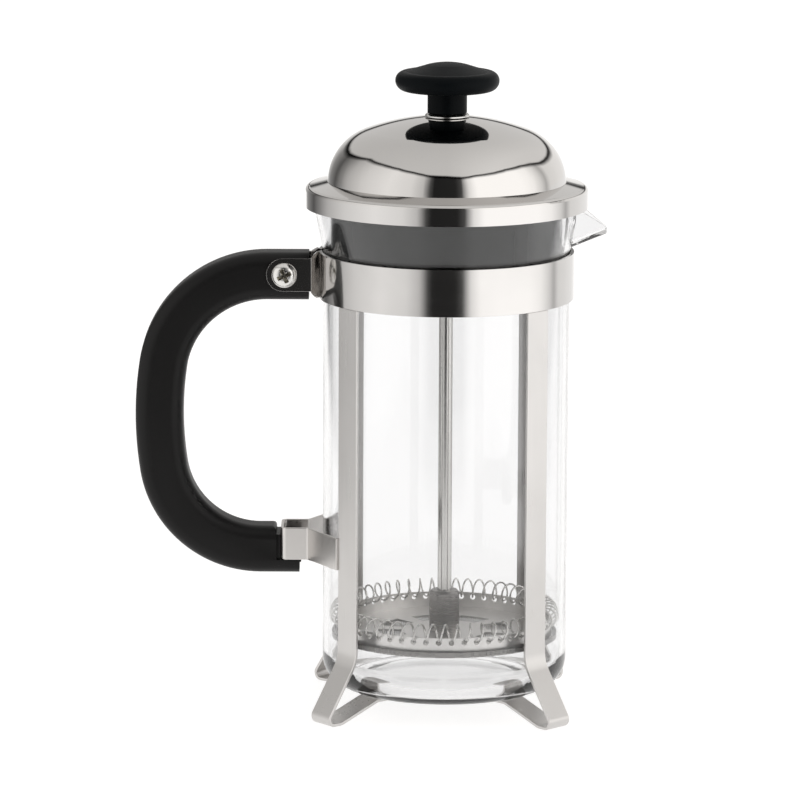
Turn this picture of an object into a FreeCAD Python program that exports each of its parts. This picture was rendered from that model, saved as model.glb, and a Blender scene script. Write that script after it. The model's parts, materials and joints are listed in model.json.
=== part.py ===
import FreeCAD, Part
import Sketcher
import math
import os
import re

# French press: a glass beaker in a steel strap frame, a domed lid and a plunger with a filter stack.
# Origin on the beaker's axis at the level of the feet, +Z up, handle towards -X, spout towards +X.

SIZES = {
    # glass beaker
    "glass_radius": 35.0,
    "glass_wall": 1.6,
    "glass_bottom": 5.7,
    "glass_floor": 2.6,
    "glass_corner": 8.5,
    "glass_punt": 0.6,
    "glass_flat_inset": 6.0,
    "rim_rise": 15.6,
    "flare_drop": 1.0,
    "mouth_flare": 3.0,
    "spout_out": 10.4,
    "spout_root_rise": 0.8,
    "spout_tip_rise": 4.2,
    "spout_inset": 5.0,
    # strap frame
    "strap_thick": 0.9,
    "band_gap": 0.4,
    "band_bottom": 118.5,
    "band_height": 13.3,
    "split_gap": 1.6,
    "ear_height": 9.4,
    "ear_rise": 7.1,
    "ear_out": 14.7,
    "ear_gap": 0.12,
    "ear_bend_lead": 0.3,
    "leg_width": 8.0,
    "leg_angle": 45.0,
    "handle_leg_angle": 40.0,
    "foot_out": 9.7,
    "foot_lean": 33.0,
    "foot_bend": 1.75,
    "knee_bend": 10.0,
    "foot_flat": 2.6,
    "tab_near": 7.0,
    "tab_far": 11.0,
    "tab_gap": 0.1,
    "bracket_bottom": 43.0,
    "bracket_height": 9.3,
    "bracket_out": 10.6,
    "bracket_bend": 1.2,
    "bracket_spread": 2.7,
    # handle
    "grip_tall": 13.6,
    "grip_wide": 12.9,
    "grip_corner": 3.8,
    "grip_out": 2.7,
    "grip_top_rise": 5.9,
    "grip_foot_drop": 4.25,
    "grip_step_out": 1.3,
    "grip_lip_out": 5.3,
    "grip_step_round": 1.5,
    "grip_hook_gap": 0.05,
    "grip_neck_drop": 2.2,
    "top_bend_out": 14.5,
    "top_bend": 30.0,
    "foot_curve": 28.0,
    "back_lean": 9.0,
    "screw_out": 9.6,
    "screw_radius": 2.0,
    "screw_head": 3.55,
    "screw_head_tall": 2.2,
    "screw_shank": 2.6,
    "nut_flats": 7.0,
    "nut_tall": 3.0,
    "nut_gap": 0.03,
    "seat_gap": 0.02,
    "running_gap": 0.1,
    # lid
    "dome_over": 0.5,
    "dome_rise": 3.7,
    "dome_corner": 16.0,
    "crown_radius": 68.0,
    "lid_sheet": 0.7,
    "flange_over": 2.1,
    "flange_rise": 3.0,
    "flange_slope": 1.3,
    "flange_round": 1.2,
    "skirt_drop": 2.9,
    "collar_gap": 0.5,
    "collar_wall": 1.6,
    "collar_drop": 20.4,
    "collar_seat_gap": 0.3,
    "collar_edge_gap": 0.4,
    "collar_bore_gap": 0.5,
    "web_thick": 1.7,
    "slot_inner": 11.0,
    "slot_inset": 4.3,
    "slot_width": 2.4,
    "bush_radius": 6.3,
    "bush_neck": 4.0,
    "bush_tall": 0.6,
    "bush_drop": 2.2,
    "bush_gap": 0.06,
    "bush_edge": 0.3,
    "clip_gap": 0.3,
    "clip_tall": 0.8,
    # plunger
    "rod_radius": 2.0,
    "rod_edge": 0.3,
    "rod_gap": 0.08,
    "thread_gap": 0.05,
    "stem_radius": 5.6,
    "stem_tall": 6.2,
    "stem_edge": 0.3,
    "stop_gap": 0.12,
    "knob_radius": 14.75,
    "knob_rim_tall": 5.7,
    "knob_crown": 2.6,
    "knob_under_round": 2.9,
    "knob_top_round": 3.1,
    "insert_radius": 3.2,
    "insert_tall": 4.2,
    "insert_lift": 0.4,
    "socket_gap": 0.2,
    # filter stack
    "stack_rise": 11.0,
    "plate_sheet": 0.6,
    "cross_inset": 1.2,
    "mesh_gap": 1.1,
    "mesh_sheet": 0.3,
    "mesh_lip": 1.5,
    "rim_gap": 2.7,
    "rim_tall": 5.9,
    "hub_radius": 4.3,
    "hub_tall": 13.3,
    "hub_edge": 0.6,
    "rod_seat": 3.0,
    "stud_radius": 1.6,
    "stud_head": 3.4,
    "stud_head_tall": 1.2,
    "stud_edge": 0.4,
    "spring_gap": 0.2,
    "spring_loop": 2.6,
    "spring_wire": 0.28,
    "spring_loops": 54.0,
    "rim_hole": 0.8,
    "rim_hole_rise": 3.1,
    # how far a cutting shape reaches past what it cuts
    "clear_by": 1.0,
}

# Sizes that follow from others, so that pieces which meet stay met.
TIED = {
    "glass_rim_top": "band_bottom + band_height + rim_rise",
    "flare_start": "band_bottom + band_height - flare_drop",
    "spout_reach": "glass_radius + spout_out",
    "spout_root_low": "band_bottom + band_height + spout_root_rise",
    "spout_tip_low": "spout_root_low + spout_tip_rise",
    "strap_out": "glass_radius + band_gap + strap_thick",
    "ear_middle": "band_bottom + ear_rise",
    "ear_reach": "strap_out + ear_out",
    "foot_reach": "strap_out + foot_out",
    "tab_start": "glass_radius - tab_near",
    "tab_end": "glass_radius - tab_far",
    "bracket_reach": "strap_out + bracket_out",
    "bracket_half": "grip_wide / 2 + ear_gap",
    "grip_top": "ear_middle + grip_top_rise",
    "grip_foot": "bracket_bottom - grip_foot_drop",
    "grip_start": "strap_out + grip_out",
    "grip_end": "bracket_reach + grip_step_out",
    "grip_lip_end": "strap_out + grip_lip_out",
    "top_bend_start": "strap_out + top_bend_out",
    "screw_place": "strap_out + screw_out",
    "dome_foot": "glass_radius - glass_wall + dome_over",
    "dome_base": "glass_rim_top + dome_rise",
    "flange_radius": "glass_radius + mouth_flare + flange_over",
    "flange_edge_top": "glass_rim_top + flange_rise",
    "skirt_bottom": "glass_rim_top - skirt_drop",
    "collar_radius": "glass_radius - glass_wall - collar_gap",
    "collar_bottom": "glass_rim_top - collar_drop",
    "slot_outer": "collar_radius - collar_wall - slot_inset",
    "stack_bottom": "glass_bottom + glass_punt + glass_floor + stack_rise",
    "mesh_radius": "glass_radius - glass_wall - mesh_gap",
    "rim_radius": "glass_radius - glass_wall - rim_gap",
    "cross_radius": "rim_radius - cross_inset",
    "rim_top": "stack_bottom + rim_tall",
    "hub_top": "stack_bottom + hub_tall",
    "spring_reach": "glass_radius - glass_wall - spring_gap",
}

# Places that follow from the sizes above.
BORE = "(glass_radius - glass_wall)"
STRAP_IN = "(glass_radius + band_gap)"
STRAP_MID = "(glass_radius + band_gap + strap_thick / 2)"
STRAP_OUT = "strap_out"
BAND_TOP = "(band_bottom + band_height)"
EAR_LOW = "(ear_middle - ear_height / 2)"
EAR_HIGH = "(ear_middle + ear_height / 2)"
EAR_IN = "(grip_wide / 2 + ear_gap)"
EAR_BEND_IN = "-(grip_start - ear_bend_lead)"
EAR_BEND_OUT = "-(grip_start - ear_bend_lead - strap_thick / 2)"
GRIP_TOP_MID = "(grip_top - grip_tall / 2)"
GRIP_FOOT_MID = "(grip_foot + grip_tall / 2)"
MOUTH = "(glass_radius + mouth_flare)"
RIM_HALF = "(glass_wall / 2)"
CROWN_CENTRE = "(dome_base - sqrt(pow(crown_radius - dome_corner; 2) - pow(dome_foot - dome_corner; 2)))"
JOIN_SHARE_X = "((dome_foot - dome_corner) / (crown_radius - dome_corner))"
JOIN_SHARE_Z = f"((dome_base - {CROWN_CENTRE}) / (crown_radius - dome_corner))"
APEX = f"({CROWN_CENTRE} + crown_radius)"
COLLAR_UNDER = "(glass_rim_top + collar_seat_gap)"
COLLAR_TOP = f"({COLLAR_UNDER} + web_thick)"
BUSH_SEAT = f"({CROWN_CENTRE} + sqrt(pow(crown_radius; 2) - pow(bush_neck + running_gap; 2)))"
BUSH_TOP = f"({APEX} + bush_tall)"
STEM_FOOT = f"({BUSH_TOP} + stop_gap)"
KNOB_UNDER = f"({STEM_FOOT} + stem_tall)"
KNOB_RIM_TOP = f"({KNOB_UNDER} + knob_rim_tall)"
KNOB_TOP = f"({KNOB_RIM_TOP} + knob_crown)"
MESH_LOW = "(stack_bottom + plate_sheet)"
SPIRAL_LOW = f"({MESH_LOW} + mesh_sheet)"
SPIRAL_TOP = f"({SPIRAL_LOW} + plate_sheet)"
LOOP_MIDDLE = "(spring_reach - spring_wire - spring_loop)"
HOLE_HEIGHT = f"({SPIRAL_TOP} + rim_hole_rise)"
LOOP_HEIGHT = f"({HOLE_HEIGHT} + spring_loop)"

os.makedirs("parts", exist_ok=True)
doc = FreeCAD.newDocument("french_press")
sheet = doc.addObject("Spreadsheet::Sheet", "sizes")
ENTRIES = {alias: str(number) for alias, number in SIZES.items()}
ENTRIES.update({alias: f"={formula}" for alias, formula in TIED.items()})
for row, (alias, entry) in enumerate(ENTRIES.items(), start=1):
    sheet.set(f"A{row}", alias)
    sheet.set(f"B{row}", entry)
    sheet.setAlias(f"B{row}", alias)
doc.recompute()

NODES = []
WORD = re.compile(r"[a-z][a-z_]+")


def link(formula):
    """Turn a formula on size names into an expression on the sheet's cells."""
    return WORD.sub(lambda word: ("sizes." if word.group() in ENTRIES else "") + word.group(), formula)


gauge = doc.addObject("App::FeaturePython", "gauge")


def measure(formula):
    """The present value of a formula, in millimetres."""
    return float(gauge.evalExpression(link(formula)))


def origin_plane(body, role):
    return next(item for item in body.Origin.OriginFeatures if item.Role == role)


def new_body(label):
    body = doc.addObject("PartDesign::Body", label)
    body.Label = label
    NODES.append(body)
    return body


def new_sketch(body, plane, name, offset=None):
    """A sketch on one of the body's own planes, set off along its normal by a formula."""
    sketch = body.newObject("Sketcher::SketchObject", name)
    sketch.AttachmentSupport = [(origin_plane(body, plane), "")]
    sketch.MapMode = "FlatFace"
    if offset:
        sketch.setExpression("AttachmentOffset.Base.z", link(offset))
    return sketch


def arc_between(start, end, radius, side):
    """The shorter arc from start to end; side +1 has its centre on the left of the way."""
    middle = (start + end) * 0.5
    way = end - start
    half = way.Length / 2
    rise = math.sqrt(max(radius * radius - half * half, 0.0))
    left = FreeCAD.Vector(-way.y, way.x, 0).normalize()
    centre = middle + left * rise * side
    circle = Part.Circle(centre, FreeCAD.Vector(0, 0, 1), radius)
    first, last = (start, end) if side > 0 else (end, start)
    return Part.ArcOfCircle(circle, circle.parameter(first), circle.parameter(last))


def pin(sketch, shape, point, across, up):
    """Hold one point of a sketch at two formulas."""
    for kind, formula in (("DistanceX", across), ("DistanceY", up)):
        value = measure(formula)
        index = sketch.addConstraint(Sketcher.Constraint(kind, -1, 1, shape, point, value))
        sketch.setExpression(f"Constraints[{index}]", link(formula))


def outline(sketch, corners, closed=True):
    """Draw a chain through the corners (across, up) or (across, up, radius, side) with an arc to the next."""
    places = [FreeCAD.Vector(measure(c[0]), measure(c[1]), 0) for c in corners]
    count = len(corners) if closed else len(corners) - 1
    ends = []
    for index in range(count):
        start = places[index]
        end = places[(index + 1) % len(places)]
        if len(corners[index]) == 4:
            radius, side = corners[index][2:]
            shape = sketch.addGeometry(arc_between(start, end, measure(radius), side))
            limit = sketch.addConstraint(Sketcher.Constraint("Radius", shape, measure(radius)))
            sketch.setExpression(f"Constraints[{limit}]", link(radius))
            ends.append((shape, 1, 2) if side > 0 else (shape, 2, 1))
        else:
            shape = sketch.addGeometry(Part.LineSegment(start, end))
            ends.append((shape, 1, 2))
    for index, (shape, first, last) in enumerate(ends):
        pin(sketch, shape, first, corners[index][0], corners[index][1])
        following = ends[(index + 1) % count]
        if closed or index + 1 < count:
            sketch.addConstraint(Sketcher.Constraint("Coincident", shape, last, following[0], following[1]))
        else:
            pin(sketch, shape, last, corners[-1][0], corners[-1][1])
    return sketch


def ring(sketch, across, up, radius):
    """Draw a circle held by formulas."""
    centre = FreeCAD.Vector(measure(across), measure(up), 0)
    shape = sketch.addGeometry(Part.Circle(centre, FreeCAD.Vector(0, 0, 1), measure(radius)))
    limit = sketch.addConstraint(Sketcher.Constraint("Radius", shape, measure(radius)))
    sketch.setExpression(f"Constraints[{limit}]", link(radius))
    pin(sketch, shape, 3, across, up)
    return sketch


def bent_path(sketch, corners):
    """Draw an open path of straight runs with tangent bends at its corners (across, up, radius)."""
    places = [FreeCAD.Vector(measure(c[0]), measure(c[1]), 0) for c in corners]
    cuts = []
    for index in range(1, len(places) - 1):
        back = (places[index - 1] - places[index]).normalize()
        ahead = (places[index + 1] - places[index]).normalize()
        reach = measure(corners[index][2]) / math.tan(back.getAngle(ahead) / 2)
        cuts.append((places[index] + back * reach, places[index] + ahead * reach))
    starts = [places[0]] + [leaving for entering, leaving in cuts]
    ends = [entering for entering, leaving in cuts] + [places[-1]]
    runs = [sketch.addGeometry(Part.LineSegment(a, b)) for a, b in zip(starts, ends)]
    for index, (entering, leaving) in enumerate(cuts, start=1):
        radius = corners[index][2]
        turn = (places[index] - places[index - 1]).cross(places[index + 1] - places[index]).z
        side = 1 if turn > 0 else -1
        bend = sketch.addGeometry(arc_between(entering, leaving, measure(radius), side))
        first, last = (1, 2) if side > 0 else (2, 1)
        sketch.addConstraint(Sketcher.Constraint("Tangent", runs[index - 1], 2, bend, first))
        sketch.addConstraint(Sketcher.Constraint("Tangent", runs[index], 1, bend, last))
        limit = sketch.addConstraint(Sketcher.Constraint("Radius", bend, measure(radius)))
        sketch.setExpression(f"Constraints[{limit}]", link(radius))
        corner = sketch.addGeometry(Part.Point(places[index]), True)
        pin(sketch, corner, 1, corners[index][0], corners[index][1])
        for run in (runs[index - 1], runs[index]):
            sketch.addConstraint(Sketcher.Constraint("PointOnObject", corner, 1, run))
    pin(sketch, runs[0], 1, corners[0][0], corners[0][1])
    pin(sketch, runs[-1], 2, corners[-1][0], corners[-1][1])
    return sketch


def revolve(body, sketch, kind="PartDesign::Revolution"):
    feature = body.newObject(kind, sketch.Name + "_turned")
    feature.Profile = sketch
    feature.ReferenceAxis = (sketch, ["V_Axis"])
    feature.Angle = 360.0
    return feature


def pad(body, sketch, length, centred=False):
    feature = body.newObject("PartDesign::Pad", sketch.Name + "_pad")
    feature.Profile = sketch
    feature.Midplane = centred
    feature.setExpression("Length", link(length))
    return feature


def pocket(body, sketch, length=None, reverse=False):
    """Cut a sketch to a depth, or right through both ways when no depth is given."""
    before = solid_volume(body)
    feature = body.newObject("PartDesign::Pocket", sketch.Name + "_cut")
    feature.Profile = sketch
    if length:
        feature.setExpression("Length", link(length))
        feature.Reversed = reverse
    else:
        feature.Type = "ThroughAll"
        feature.Midplane = True
    if not solid_volume(body) < before:
        raise RuntimeError(f"{feature.Name} cuts nothing")
    return feature


def solid_volume(body):
    doc.recompute()
    return body.Shape.Volume


def around(body, feature, number):
    """Repeat a feature in even steps round the body's upright axis."""
    pattern = body.newObject("PartDesign::PolarPattern", feature.Name + "_round")
    pattern.Originals = [feature]
    pattern.Axis = (origin_plane(body, "Z_Axis"), [""])
    pattern.Angle = 360
    pattern.setExpression("Occurrences", link(number))
    body.Tip = pattern
    return pattern


def mirrored(body, features, plane):
    """Repeat features on the far side of one of the body's planes."""
    mirror = body.newObject("PartDesign::Mirrored", features[0].Name + "_mirror")
    mirror.Originals = features
    mirror.MirrorPlane = (origin_plane(body, plane), [""])
    body.Tip = mirror
    return mirror


def sweep(body, profile, path):
    feature = body.newObject("PartDesign::AdditivePipe", profile.Name + "_swept")
    feature.Profile = profile
    feature.Spine = (path, [])
    return feature


def loft(body, sections, kind):
    feature = body.newObject(kind, sections[0].Name + "_loft")
    feature.Profile = sections[0]
    feature.Sections = sections[1:]
    feature.Ruled = True
    return feature


def make_band():
    """The strap round the glass; its ends turn out at the split and run along the grip as ears."""
    body = new_body("frame_band")
    plan = new_sketch(body, "XY_Plane", "band_plan", "band_bottom")
    root_y = "(grip_wide / 4)"
    root_x = f"-sqrt(pow({STRAP_OUT}; 2) - pow({root_y}; 2))"
    split_x = f"-sqrt(pow({STRAP_IN}; 2) - pow(split_gap / 2; 2))"
    ear_out = f"({EAR_IN} + strap_thick)"
    corners = [
        (STRAP_OUT, "0", STRAP_OUT, 1),
        ("0", STRAP_OUT, STRAP_OUT, 1),
        (root_x, root_y),
        (EAR_BEND_OUT, ear_out),
        ("-ear_reach", ear_out),
        ("-ear_reach", EAR_IN),
        (EAR_BEND_IN, EAR_IN),
        (split_x, "split_gap / 2", STRAP_IN, -1),
        ("0", STRAP_IN, STRAP_IN, -1),
        (STRAP_IN, "0", STRAP_IN, -1),
        ("0", f"-{STRAP_IN}", STRAP_IN, -1),
        (split_x, "-split_gap / 2"),
        (EAR_BEND_IN, f"-{EAR_IN}"),
        ("-ear_reach", f"-{EAR_IN}"),
        ("-ear_reach", f"-{ear_out}"),
        (EAR_BEND_OUT, f"-{ear_out}"),
        (root_x, f"-{root_y}", STRAP_OUT, 1),
        ("0", f"-{STRAP_OUT}", STRAP_OUT, 1),
    ]
    outline(plan, corners)
    pad(body, plan, "band_height")
    trim = new_sketch(body, "XZ_Plane", "ear_trim")
    near = f"-({STRAP_OUT} + clear_by / 2)"
    narrow = f"{EAR_BEND_IN} + clear_by / 5"
    far = "-(ear_reach + clear_by)"
    round_start = "-(ear_reach - ear_height / 2)"
    corners = [
        (near, f"{BAND_TOP} + clear_by"),
        (far, f"{BAND_TOP} + clear_by"),
        (far, "band_bottom - clear_by"),
        (near, "band_bottom - clear_by"),
        (near, "band_bottom", "ear_height", -1),
        (narrow, EAR_LOW),
        (round_start, EAR_LOW, "ear_height / 2", -1),
        ("-ear_reach", "ear_middle", "ear_height / 2", -1),
        (round_start, EAR_HIGH),
        (narrow, EAR_HIGH, "ear_height", -1),
        (near, BAND_TOP),
    ]
    outline(trim, corners)
    pocket(body, trim)
    holes = new_sketch(body, "XZ_Plane", "ear_holes")
    ring(holes, "-screw_place", "ear_middle", "screw_radius + running_gap")
    pocket(body, holes)


def make_leg(label, turn):
    """A strap leg: straight down from the band, out at the knee, back under the glass as a tab."""
    body = new_body(label)
    lean_x = "sin(foot_lean)"
    lean_z = "cos(foot_lean)"
    low = "(strap_thick / 2)"
    foot_x = f"(foot_reach - foot_bend - {low})"
    touch_x = f"({foot_x} + foot_bend * {lean_z})"
    touch_z = f"({low} + foot_bend + foot_bend * {lean_x})"
    knee_z = f"({touch_z} + ({touch_x} - {STRAP_MID}) * {lean_z} / {lean_x})"
    toe_x = f"({touch_x} + ({touch_z} - {low}) * {lean_x} / {lean_z})"
    tab_z = f"(glass_bottom - tab_gap - {low})"
    path = new_sketch(body, "XZ_Plane", "leg_path")
    corners = [
        (STRAP_MID, "band_bottom"),
        (STRAP_MID, knee_z, "knee_bend"),
        (toe_x, low, "foot_bend"),
        (f"{foot_x} - foot_flat", low, "foot_bend * 2"),
        ("tab_start", tab_z, "foot_bend * 2"),
        ("tab_end", tab_z),
    ]
    bent_path(path, corners)
    section = new_sketch(body, "XY_Plane", "leg_section", "band_bottom")
    rectangle(section, STRAP_IN, "-leg_width / 2", STRAP_OUT, "leg_width / 2")
    sweep(body, section, path)
    body.Placement = FreeCAD.Placement(FreeCAD.Vector(0, 0, 0), FreeCAD.Rotation(FreeCAD.Vector(0, 0, 1), 1))
    body.setExpression("Placement.Rotation.Angle", link(turn))


def rounding(reach, rise):
    """Radius of the arc that spans reach by rise and starts square to the reach."""
    return f"((pow({reach}; 2) + pow({rise}; 2)) / (2 * {reach}))"


def rectangle(sketch, low_across, low_up, high_across, high_up):
    corners = [(low_across, low_up), (high_across, low_up), (high_across, high_up), (low_across, high_up)]
    return outline(sketch, corners)


def make_bracket():
    """One strap bent to a narrow loop, its arms spread to the two legs on the handle's side."""
    body = new_body("handle_bracket")
    middle = "(bracket_half - strap_thick / 2)"
    closed = "-(bracket_reach - strap_thick / 2)"
    weld_x = f"-({STRAP_MID} + leg_width / 2) * cos(handle_leg_angle)"
    weld_y = f"({STRAP_MID} - leg_width / 2) * sin(handle_leg_angle)"
    path = new_sketch(body, "XY_Plane", "bracket_path", "bracket_bottom + bracket_height / 2")
    corners = [
        (closed, "0"),
        (closed, middle, "bracket_bend"),
        (f"-({STRAP_OUT} + bracket_spread)", middle, "bracket_bend"),
        (weld_x, weld_y),
    ]
    bent_path(path, corners)
    section = new_sketch(body, "XZ_Plane", "bracket_section")
    top = "(bracket_bottom + bracket_height)"
    rectangle(section, "-bracket_reach", "bracket_bottom", "-(bracket_reach - strap_thick)", top)
    half = sweep(body, section, path)
    doc.recompute()
    mirrored(body, [half], "XZ_Plane")


def make_grip():
    """The moulded grip, hooked into the bracket below and held between the ears above."""
    body = new_body("handle_grip")
    rise = "sin(back_lean)"
    run = "cos(back_lean)"
    drop = f"({GRIP_TOP_MID} - {GRIP_FOOT_MID} - (top_bend + foot_curve) * (1 - {rise}))"
    back = f"({drop} / 2 / {rise})"
    back_x = f"-(top_bend_start + top_bend * {run})"
    foot_bend_x = f"({back_x} + foot_curve * {run})"
    path = new_sketch(body, "XZ_Plane", "grip_path")
    corners = [
        ("-grip_start", GRIP_TOP_MID),
        ("-top_bend_start", GRIP_TOP_MID, "top_bend", 1),
        (back_x, f"{GRIP_TOP_MID} - top_bend * (1 - {rise})", back, 1),
        (back_x, f"{GRIP_FOOT_MID} + foot_curve * (1 - {rise})", "foot_curve", 1),
        (foot_bend_x, GRIP_FOOT_MID),
        ("-grip_lip_end", GRIP_FOOT_MID),
    ]
    outline(path, corners, closed=False)
    section = new_sketch(body, "YZ_Plane", "grip_section", "-grip_start")
    half = "(grip_wide / 2)"
    low = "(grip_top - grip_tall)"
    corners = [
        (f"-{half} + grip_corner", low),
        (f"{half} - grip_corner", low, "grip_corner", 1),
        (half, f"{low} + grip_corner"),
        (half, "grip_top - grip_corner", "grip_corner", 1),
        (f"{half} - grip_corner", "grip_top"),
        (f"-{half} + grip_corner", "grip_top", "grip_corner", 1),
        (f"-{half}", "grip_top - grip_corner"),
        (f"-{half}", f"{low} + grip_corner", "grip_corner", 1),
    ]
    outline(section, corners)
    sweep(body, section, path)
    shape_grip_foot(body)
    hole = new_sketch(body, "XZ_Plane", "grip_hole")
    ring(hole, "-screw_place", "ear_middle", "screw_radius + running_gap")
    pocket(body, hole)


def shape_grip_foot(body):
    """Cut the step for the bracket's loop, then add the neck and the tongue that hook into the loop."""
    lip_top = "(bracket_bottom - grip_hook_gap)"
    foot_top = "(grip_foot + grip_tall)"
    step = new_sketch(body, "XZ_Plane", "grip_step")
    corners = [
        ("-grip_end", lip_top),
        (f"-{STRAP_OUT}", lip_top),
        (f"-{STRAP_OUT}", f"{foot_top} + clear_by"),
        ("-(grip_end + grip_step_round)", f"{foot_top} + clear_by"),
        ("-(grip_end + grip_step_round)", foot_top, "grip_step_round", -1),
        ("-grip_end", f"{foot_top} - grip_step_round"),
    ]
    outline(step, corners)
    pocket(body, step)
    neck = new_sketch(body, "XZ_Plane", "grip_neck")
    neck_end = "(bracket_reach + running_gap)"
    neck_top = f"({foot_top} - grip_neck_drop)"
    rectangle(neck, "-(grip_end + clear_by)", f"{lip_top} - clear_by", f"-{neck_end}", neck_top)
    pad(body, neck, "grip_wide - 2 * clear_by", centred=True)
    tongue = new_sketch(body, "XZ_Plane", "grip_tongue")
    inside = "(bracket_reach - strap_thick - running_gap)"
    tongue_top = "(bracket_bottom + bracket_height - grip_neck_drop)"
    tongue_end = "(grip_lip_end - clear_by / 2)"
    corners = [
        (f"-{inside}", f"{lip_top} - clear_by"),
        (f"-{tongue_end}", f"{lip_top} - clear_by"),
        (f"-{tongue_end}", tongue_top),
        (f"-({inside} - strap_thick)", tongue_top),
        (f"-{inside}", f"{tongue_top} - strap_thick"),
    ]
    outline(tongue, corners)
    pad(body, tongue, "2 * (bracket_half - strap_thick - bracket_bend)", centred=True)


def lay_across(body):
    """Lay a turned part along Y at the screw's place, its foot on the nearer ear."""
    turn = FreeCAD.Rotation(FreeCAD.Vector(1, 0, 0), 90)
    body.Placement = FreeCAD.Placement(FreeCAD.Vector(0, 0, 0), turn)
    body.setExpression("Placement.Base.x", link("-screw_place"))
    body.setExpression("Placement.Base.z", link("ear_middle"))


def make_screw():
    body = new_body("handle_screw")
    face = f"({EAR_IN} + strap_thick + seat_gap)"
    profile = new_sketch(body, "XZ_Plane", "screw_profile")
    corners = [
        ("0", f"-({face} + screw_shank)"),
        ("screw_radius", f"-({face} + screw_shank)"),
        ("screw_radius", face),
        ("screw_head", face),
        ("screw_head", f"{face} + screw_head_tall * 0.45", "screw_head_tall * 0.9", 1),
        ("screw_head * 0.72", f"{face} + screw_head_tall"),
        ("0", f"{face} + screw_head_tall"),
    ]
    outline(profile, corners)
    revolve(body, profile)
    cross = new_sketch(body, "XY_Plane", "screw_cross", f"{face} + screw_head_tall * 0.2")
    arm = "(screw_head * 0.55)"
    thin = "(screw_head * 0.14)"
    corners = [
        (arm, f"-{thin}"), (arm, thin), (thin, thin), (thin, arm), (f"-{thin}", arm), (f"-{thin}", thin),
        (f"-{arm}", thin), (f"-{arm}", f"-{thin}"), (f"-{thin}", f"-{thin}"), (f"-{thin}", f"-{arm}"),
        (thin, f"-{arm}"), (thin, f"-{thin}"),
    ]
    outline(cross, corners)
    pocket(body, cross, "screw_head_tall", reverse=True)
    lay_across(body)


def make_nut():
    body = new_body("handle_nut")
    face = f"({EAR_IN} + strap_thick + seat_gap)"
    bore = "(screw_radius + nut_gap)"
    plan = new_sketch(body, "XY_Plane", "nut_plan", f"-({face} + nut_tall)")
    corners = []
    for step in range(6):
        angle = 60 * step + 30
        corners.append((f"nut_flats / 2 / cos(30) * cos({angle})", f"nut_flats / 2 / cos(30) * sin({angle})"))
    outline(plan, corners)
    pad(body, plan, "nut_tall")
    profile = new_sketch(body, "XZ_Plane", "nut_cap")
    cap = "(nut_flats * 0.47)"
    rise = f"({cap} * 0.8)"
    corners = [
        ("0", f"-({face} + nut_tall + {rise})", rounding(rise, cap), 1),
        (cap, f"-({face} + nut_tall)"),
        ("0", f"-({face} + nut_tall)"),
    ]
    outline(profile, corners)
    revolve(body, profile)
    hollow = new_sketch(body, "XZ_Plane", "nut_bore")
    rectangle(hollow, "0", f"-({face} + screw_shank + running_gap)", bore, f"-{face} + clear_by")
    before = solid_volume(body)
    revolve(body, hollow, "PartDesign::Groove")
    if not solid_volume(body) < before:
        raise RuntimeError("the nut's bore cuts nothing")
    lay_across(body)


def make_beaker():
    """The blown glass: a round-cornered tumbler with a flared mouth and a pouring lip."""
    body = new_body("glass_beaker")
    shape = new_sketch(body, "XZ_Plane", "glass_outside")
    corners = [
        ("0", "glass_bottom + glass_punt"),
        ("glass_radius - glass_corner - glass_flat_inset", "glass_bottom + glass_punt"),
        ("glass_radius - glass_corner", "glass_bottom", "glass_corner", 1),
        ("glass_radius", "glass_bottom + glass_corner"),
        ("glass_radius", "flare_start"),
        (MOUTH, f"glass_rim_top - {RIM_HALF}", RIM_HALF, 1),
        (f"{MOUTH} - {RIM_HALF}", "glass_rim_top"),
        ("0", "glass_rim_top"),
    ]
    outline(shape, corners)
    revolve(body, shape)
    root_x = "(glass_radius - spout_inset)"
    slope = "((spout_tip_low - spout_root_low) / (spout_reach - glass_radius))"
    root_low = f"(spout_root_low - spout_inset * {slope})"
    lip_sections = [
        spout_section(body, "lip_root", root_x, root_low, "6", "19.5", "glass_rim_top + 3"),
        spout_section(body, "lip_tip", "spout_reach", "spout_tip_low", "1.8", "3.4", "glass_rim_top + 3"),
    ]
    loft(body, lip_sections, "PartDesign::AdditiveLoft")
    doc.recompute()
    inner_low = "glass_wall * 1.05"
    inside = new_sketch(body, "XZ_Plane", "glass_inside")
    inner_corner = "(glass_corner - glass_wall)"
    floor = "(glass_bottom + glass_punt + glass_floor)"
    corners = [
        ("0", floor),
        (f"{BORE} - {inner_corner}", floor, inner_corner, 1),
        (BORE, f"{floor} + {inner_corner}"),
        (BORE, "flare_start"),
        (f"{MOUTH} - glass_wall", f"glass_rim_top - {RIM_HALF}", RIM_HALF, -1),
        (f"{MOUTH} - {RIM_HALF}", "glass_rim_top"),
        (f"{MOUTH} - {RIM_HALF}", "glass_rim_top + 5"),
        ("0", "glass_rim_top + 5"),
    ]
    outline(inside, corners)
    before = solid_volume(body)
    revolve(body, inside, "PartDesign::Groove")
    if not solid_volume(body) < before:
        raise RuntimeError("the beaker's inside cuts nothing")
    channel = [
        spout_section(body, "pour_root", f"{root_x} - 2", f"{root_low} + {inner_low}", "4.6", "18.2",
                      "glass_rim_top + 3"),
        spout_section(body, "pour_tip", "spout_reach + 0.5", f"spout_tip_low + {inner_low}", "0.7", "2.2",
                      "glass_rim_top + 3"),
    ]
    before = solid_volume(body)
    loft(body, channel, "PartDesign::SubtractiveLoft")
    if not solid_volume(body) < before:
        raise RuntimeError("the spout's channel cuts nothing")
    trim = new_sketch(body, "XZ_Plane", "spout_trim")
    corners = [
        ("glass_radius - 1.5", "glass_rim_top"),
        ("spout_reach + 1", "spout_tip_low + 1.2"),
        ("spout_reach + 1", "glass_rim_top + 9"),
        ("0", "glass_rim_top + 9"),
        ("0", "glass_rim_top"),
    ]
    outline(trim, corners)
    pocket(body, trim)


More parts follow.
